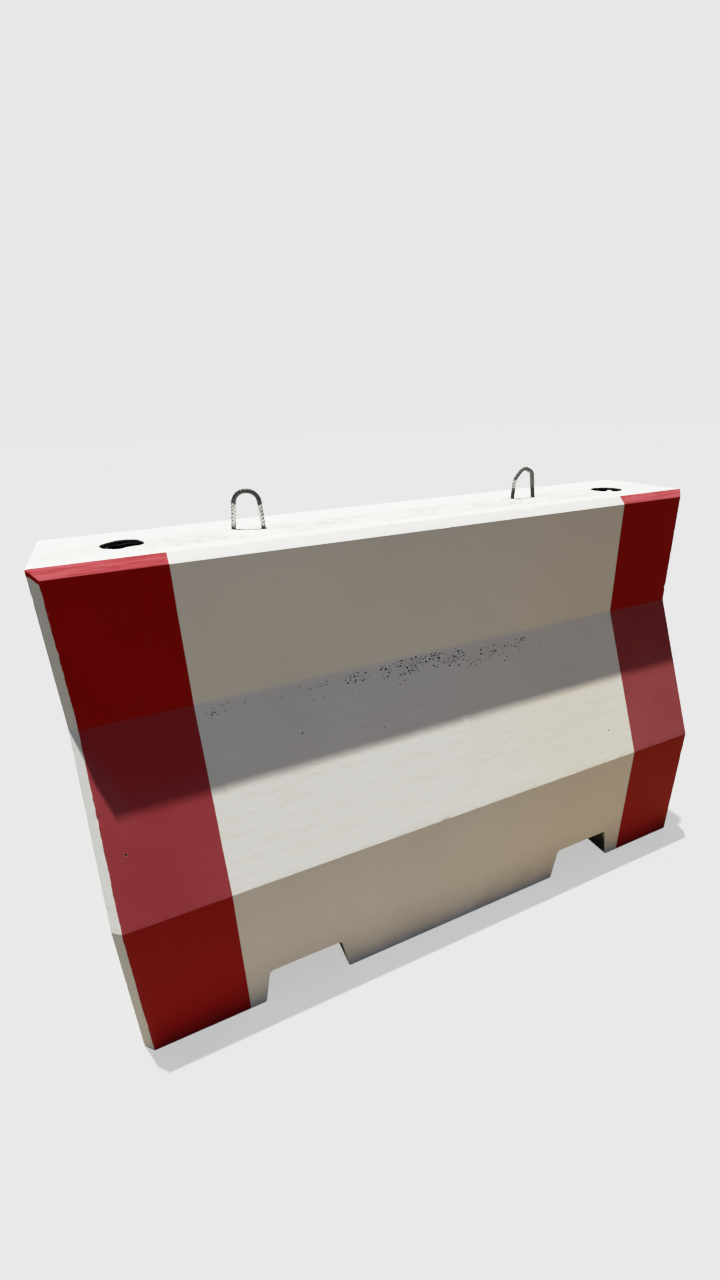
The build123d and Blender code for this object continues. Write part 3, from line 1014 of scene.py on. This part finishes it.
def make_sleeve(end, material):
    """A plastic pipe that ends just under the concrete's lip, its cut end a little uneven."""
    x, y = sleeve_place(end)
    angles = round_angles()
    top = HEIGHT - SLEEVE_END_DROP - 0.2 * MM

    def ring(radius, z, ragged):
        drops = [ragged * abs(noise.noise((2 * math.cos(a), 2 * math.sin(a), x))) for a in angles]
        return [(x + radius * math.cos(a), y + radius * math.sin(a), z - d) for a, d in zip(angles, drops)]

    levels = [*np.linspace(0.0, top - 0.01, 24), top]
    raggedness = [2 * MM if z == top else 0.0 for z in levels]
    outside = [ring(SLEEVE_OUTER, z, ragged) for z, ragged in zip(levels, raggedness)]
    inside = [ring(SLEEVE_BORE, z, ragged) for z, ragged in zip(levels, raggedness)]
    rings = outside + inside[::-1]
    vertices = [p for r in rings for p in r]
    faces = []
    for r in range(len(rings)):
        low_ring, high_ring = r * ROUND_COUNT, ((r + 1) % len(rings)) * ROUND_COUNT
        for n in range(ROUND_COUNT):
            m = (n + 1) % ROUND_COUNT
            faces.append((low_ring + n, low_ring + m, high_ring + m, high_ring + n))
    piece = new_mesh_object(f"plastic_pipe_{end}", vertices, faces, 40.0)
    piece.data.materials.append(material)
    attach(piece, "root")
    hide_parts(f"pipe_sleeve_{end}")


def dress_cage(steel, block):
    """The cast-in cage keeps its CAD meshes and gets rusty steel and mortar."""
    for name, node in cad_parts.items():
        if name.startswith(("stirrup", "long_bar")):
            node.data.materials.clear()
            node.data.materials.append(steel)
        elif name.startswith("cover_block"):
            node.data.materials.clear()
            node.data.materials.append(block)


# ---- floor, light and camera

FLOOR_REACH = 30.0

SKY_STRENGTH = 0.258
KEY_STRENGTH = 8.0
KEY_DIRECTION = Vector((0.067, -0.167, -1.0))    # the way the light travels
KEY_WIDTH = 0.8             # degrees: how soft its shadows are

CAMERA_PLACE = Vector((-0.6146, -1.1497, 1.2272))
CAMERA_HEADING = 23.27      # degrees to the right of +Y
CAMERA_PITCH = -23.02
CAMERA_ROLL = -2.04
CAMERA_LENS = 15.42         # millimetres, on a 36 mm sensor

TONE_KNEE = 0.60            # scene brightness up to here is shown as it is
TONE_EASE = 0.76            # how slowly what is above it rolls off
TONE_BRIGHTEST = 2.5


def make_floor():
    """A plain pale floor. The light it throws back at the object is that of dry ground, dimmer far off."""
    s = Shader("pale_floor")
    s.surface((0.252, 0.256, 0.272), 0.85, specular=0.05)
    s.put((0.50, 0.50, 0.49), s.bsdf.inputs["Emission Color"])
    s.put(1.0, s.bsdf.inputs["Emission Strength"])
    signs = ((-1, -1), (1, -1), (1, 1), (-1, 1))
    corners = [(x * FLOOR_REACH, y * FLOOR_REACH, 0.0) for x, y in signs]
    floor = new_mesh_object("floor", corners, [(0, 1, 2, 3)])
    floor.data.materials.append(s.material)
    dull = s.tree.nodes.new("ShaderNodeBsdfDiffuse")
    away = s.tree.nodes.new("ShaderNodeVectorMath")
    away.operation = "LENGTH"
    s.link(s.place, away.inputs[0])
    far = s.between(away.outputs["Value"], 0.9, 2.2)
    near = s.mix(s.between(s.axes()[0], -1.0, 1.0), (0.285, 0.232, 0.156), (0.285, 0.208, 0.108))
    s.put(s.mix(far, near, (0.106, 0.082, 0.043)), dull.inputs["Color"])
    path = s.tree.nodes.new("ShaderNodeLightPath")
    either = s.tree.nodes.new("ShaderNodeMixShader")
    s.link(path.outputs["Is Camera Ray"], either.inputs[0])
    s.link(dull.outputs[0], either.inputs[1])
    s.link(s.bsdf.outputs[0], either.inputs[2])
    s.link(either.outputs[0], s.out.inputs["Surface"])


def make_world():
    """A soft blue sky for the object's light, and a pale background for the camera."""
    world = bpy.data.worlds.new("studio")
    bpy.context.scene.world = world
    world.use_nodes = True
    nodes, links = world.node_tree.nodes, world.node_tree.links
    nodes.clear()
    out = nodes.new("ShaderNodeOutputWorld")
    seen = nodes.new("ShaderNodeBackground")
    seen.inputs["Color"].default_value = (1.13, 1.13, 1.12, 1.0)
    soft = nodes.new("ShaderNodeBackground")
    soft.inputs["Color"].default_value = (0.56, 0.70, 1.0, 1.0)
    soft.inputs["Strength"].default_value = SKY_STRENGTH
    path = nodes.new("ShaderNodeLightPath")
    either = nodes.new("ShaderNodeMixShader")
    links.new(path.outputs["Is Camera Ray"], either.inputs[0])
    links.new(soft.outputs[0], either.inputs[1])
    links.new(seen.outputs[0], either.inputs[2])
    links.new(either.outputs[0], out.inputs["Surface"])


def make_light():
    """The key light, high above the barrier's back."""
    lamp = bpy.data.lights.new("key", "SUN")
    lamp.energy = KEY_STRENGTH
    lamp.angle = math.radians(KEY_WIDTH)
    lamp.color = (1.0, 0.98, 0.89)
    key = bpy.data.objects.new("key", lamp)
    key.rotation_euler = KEY_DIRECTION.to_track_quat("-Z", "Y").to_euler()
    bpy.context.scene.collection.objects.link(key)


def make_camera():
    lens = bpy.data.cameras.new("camera")
    lens.lens = CAMERA_LENS
    lens.sensor_width = 36.0
    lens.clip_start = 0.01
    camera = bpy.data.objects.new("camera", lens)
    heading = Matrix.Rotation(math.radians(-CAMERA_HEADING), 4, "Z")
    pitch = Matrix.Rotation(math.radians(90 + CAMERA_PITCH), 4, "X")
    roll = Matrix.Rotation(math.radians(CAMERA_ROLL), 4, "Z")
    camera.matrix_world = Matrix.Translation(CAMERA_PLACE) @ heading @ pitch @ roll
    bpy.context.scene.collection.objects.link(camera)
    bpy.context.scene.camera = camera


def soften_highlights():
    """Scene brightness up to a knee is shown as it is, and everything above rolls off below white."""
    view = bpy.context.scene.view_settings
    view.view_transform = "Standard"
    view.use_curve_mapping = True
    curves = view.curve_mapping
    curves.white_level = (TONE_BRIGHTEST,) * 3
    combined = curves.curves[3]

    def display(level):
        over = max(0.0, level - TONE_KNEE)
        return min(level, TONE_KNEE) + (1 - TONE_KNEE) * (1 - math.exp(-over / TONE_EASE))

    for level in (0.15, 0.3, 0.45, TONE_KNEE, 0.7, 0.8, 0.95, 1.1, 1.3, 1.5, 1.75, 2.0, 2.25):
        combined.points.new(level / TONE_BRIGHTEST, display(level))
    combined.points[-1].location = (1.0, display(TONE_BRIGHTEST))
    curves.update()


def main():
    body = Body()
    pore = dark_pore()
    make_body(body, [white_paint(), pore, pocket_concrete()])
    coats = [red_paint(), pore]
    for face in ("front", "back"):
        for end in ("left", "right"):
            make_band(body, face, end, coats)
    loop_material, pipe_material = loop_steel(), sleeve_plastic()
    for end in ("left", "right"):
        make_loop(end, loop_material)
        make_sleeve(end, pipe_material)
    dress_cage(cage_steel(), mortar())
    make_floor()
    make_world()
    make_light()
    make_camera()
    soften_highlights()


main()
